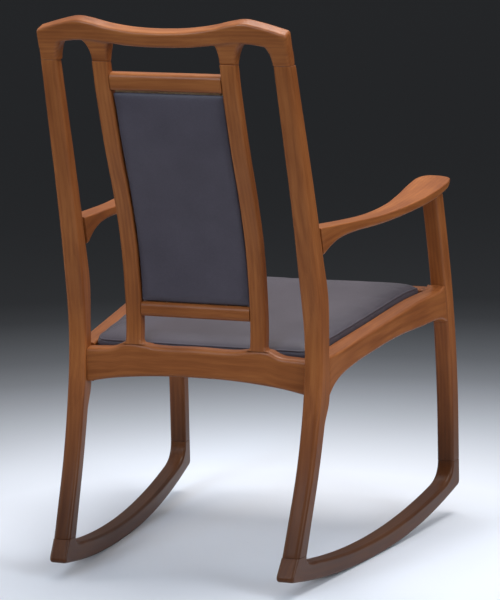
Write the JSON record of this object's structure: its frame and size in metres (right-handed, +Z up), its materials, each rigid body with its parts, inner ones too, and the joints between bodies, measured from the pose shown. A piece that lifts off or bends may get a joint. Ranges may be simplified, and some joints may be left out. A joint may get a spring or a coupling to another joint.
{
  "type": "rocking chair",
  "caption": "Wooden rocking chair with bent side frames, paddle-ended arms, a sculpted crest rail, an upholstered back panel and a drop-in upholstered seat pad.",
  "frame": {"origin": "on the floor, midway across the chair and midway between its front and rear ends, with the chair at rest on its rockers", "axes": "+Z up, -Y the way the sitter faces, +X to the sitter's left; x = 0 is the plane of symmetry"},
  "size_m": [0.6182, 0.795, 1.0536],
  "materials": {
    "frame_wood": "satin",
    "inner_wood": "matte",
    "upholstery": "satin",
    "foam": "matte",
    "screw_steel": "satin"
  },
  "bodies": {
    "root": {"rocker_left": "frame_wood", "rocker_right": "frame_wood", "rear_post_left": "frame_wood", "rear_post_right": "frame_wood", "front_leg_left": "frame_wood", "front_leg_right": "frame_wood", "side_seat_rail_left": "frame_wood", "side_seat_rail_right": "frame_wood", "arm_left": "frame_wood", "arm_right": "frame_wood", "back_stile_left": "frame_wood", "back_stile_right": "frame_wood", "crest_rail": "frame_wood", "rear_seat_rail": "frame_wood", "front_seat_rail": "frame_wood", "panel_top_rail": "frame_wood", "panel_bottom_rail": "frame_wood", "tenon_rocker_post_left": "inner_wood", "tenon_rocker_post_right": "inner_wood", "tenon_rocker_leg_left": "inner_wood", "tenon_rocker_leg_right": "inner_wood", "tenon_crest_post_left": "inner_wood", "tenon_crest_post_right": "inner_wood", "tenon_arm_post_left": "inner_wood", "tenon_arm_post_right": "inner_wood", "tenon_arm_leg_left": "inner_wood", "tenon_arm_leg_right": "inner_wood", "tenon_rear_rail_left": "inner_wood", "tenon_rear_rail_right": "inner_wood", "tenon_side_rail_rear_left": "inner_wood", "tenon_side_rail_rear_right": "inner_wood", "tenon_side_rail_front_left": "inner_wood", "tenon_side_rail_front_right": "inner_wood", "tenon_front_rail_left": "inner_wood", "tenon_front_rail_right": "inner_wood", "tenon_stile_foot_left": "inner_wood", "tenon_stile_foot_right": "inner_wood", "tenon_crest_stile_left": "inner_wood", "tenon_crest_stile_right": "inner_wood", "tenon_panel_top_left": "inner_wood", "tenon_panel_top_right": "inner_wood", "tenon_panel_bottom_left": "inner_wood", "tenon_panel_bottom_right": "inner_wood", "corner_block_rear_left": "inner_wood", "corner_block_rear_right": "inner_wood", "corner_block_front_left": "inner_wood", "corner_block_front_right": "inner_wood", "seat_screw_rear_left": "screw_steel", "seat_screw_rear_right": "screw_steel", "seat_screw_front_left": "screw_steel", "seat_screw_front_right": "screw_steel", "panel_screw_left": "screw_steel", "panel_screw_right": "screw_steel", "seat_board": "inner_wood", "back_panel_board": "inner_wood", "seat_foam": "foam", "back_panel_foam": "foam", "seat_cover": "upholstery", "back_panel_cover": "upholstery"}
  },
  "joints": []
}
